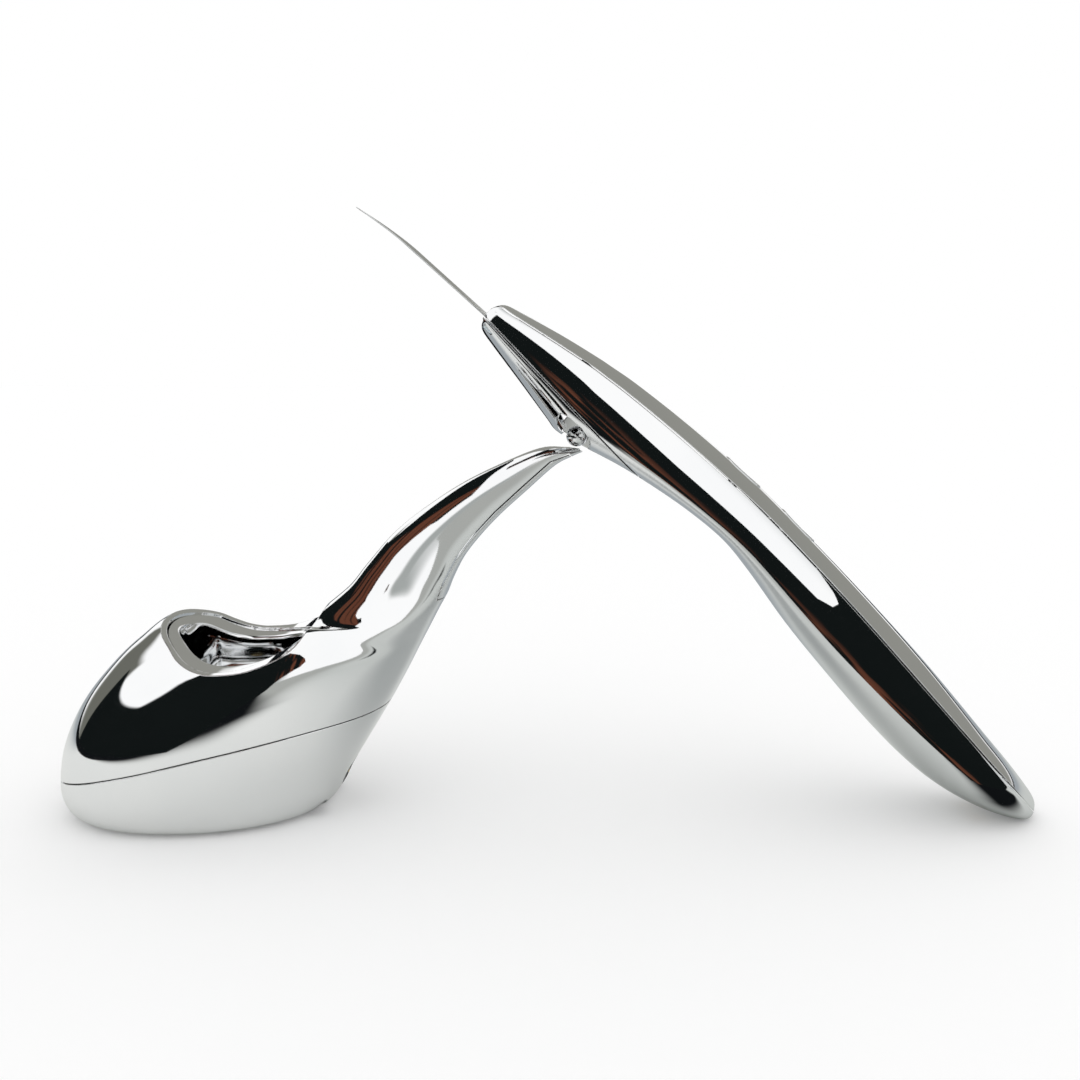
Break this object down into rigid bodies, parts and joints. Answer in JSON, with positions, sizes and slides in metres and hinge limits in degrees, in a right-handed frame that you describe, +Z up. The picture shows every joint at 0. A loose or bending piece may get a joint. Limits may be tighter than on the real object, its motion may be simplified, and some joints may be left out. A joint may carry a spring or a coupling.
{
  "type": "ultrasonic skin scrubber",
  "caption": "Handheld ultrasonic skin scrubber with a bent steel spatula blade, leaning on the swan neck of its egg-shaped chrome charging stand.",
  "frame": {"origin": "middle of the foot pad's underside, on the table", "axes": "+Z up; +X from the stand towards the tail of the wand; the object is symmetric about Y = 0"},
  "size_m": [0.2369, 0.0546, 0.1412],
  "materials": {
    "chrome": "mirror-bright plated ABS",
    "rubber": "matt black rubber",
    "dark_steel": "dull zinc-plated steel",
    "circuit_board": "green solder mask",
    "black_plastic": "matt black moulding",
    "brass": "gold-flashed contact",
    "satin_steel": "satin stainless steel",
    "silicone": "matt translucent silicone",
    "ceramic": "fired piezo ceramic",
    "clear_plastic": "clear acrylic",
    "copper": "enamelled copper wire",
    "cell_foil": "dull laminate foil",
    "foam": "open-cell foam"
  },
  "bodies": {
    "stand": {"stand_shell": "chrome", "neck_cover": "chrome", "base_shell": "chrome", "cup_liner": "chrome", "foot_pad": "rubber", "ballast_plate": "dark_steel", "charge_board": "circuit_board", "power_jack": "black_plastic", "jack_pin": "brass", "pin_barrel_1": "brass", "pin_barrel_2": "brass", "base_screw_1": "dark_steel", "base_screw_2": "dark_steel", "base_screw_3": "dark_steel"},
    "wand": {"top_cover": "chrome", "body_shell": "chrome", "head_cover": "chrome", "rest_ball": "chrome", "blade": "satin_steel", "blade_seal": "silicone", "horn": "satin_steel", "blade_clamp": "satin_steel", "blade_screw_1": "dark_steel", "blade_screw_2": "dark_steel", "piezo_ring_1": "ceramic", "piezo_ring_2": "ceramic", "back_mass": "dark_steel", "stack_bolt": "satin_steel", "power_switch": "black_plastic", "mode_switch": "black_plastic", "light_pipe": "clear_plastic", "main_board": "circuit_board", "board_screw_1": "dark_steel", "board_screw_2": "dark_steel", "controller_chip": "black_plastic", "drive_coil": "copper", "status_led": "clear_plastic", "battery": "cell_foil", "battery_foam": "foam", "tail_contact_1": "brass", "tail_contact_2": "brass"},
    "power_button": {"power_button": "chrome"},
    "mode_button": {"mode_button": "chrome"},
    "charge_pin_1": {"charge_pin_1": "brass"},
    "charge_pin_2": {"charge_pin_2": "brass"}
  },
  "joints": [
    {"name": "wand_lift", "type": "slide", "parent": "stand", "child": "wand", "axis": [0, 0, 1], "range_m": [0, 0.12]},
    {"name": "power_button_press", "type": "slide", "parent": "wand", "child": "power_button", "axis": [-0.6651, 0, -0.7467], "range_m": [0, 0.0005], "stiffness_N_per_m": 1600},
    {"name": "mode_button_press", "type": "slide", "parent": "wand", "child": "mode_button", "axis": [-0.6651, 0, -0.7467], "range_m": [0, 0.0005], "stiffness_N_per_m": 1600},
    {"name": "charge_pin_1_press", "type": "slide", "parent": "stand", "child": "charge_pin_1", "axis": [0, 0, -1], "range_m": [0, 0.001], "stiffness_N_per_m": 600},
    {"name": "charge_pin_2_press", "type": "slide", "parent": "stand", "child": "charge_pin_2", "axis": [0, 0, -1], "range_m": [0, 0.001], "stiffness_N_per_m": 600}
  ]
}
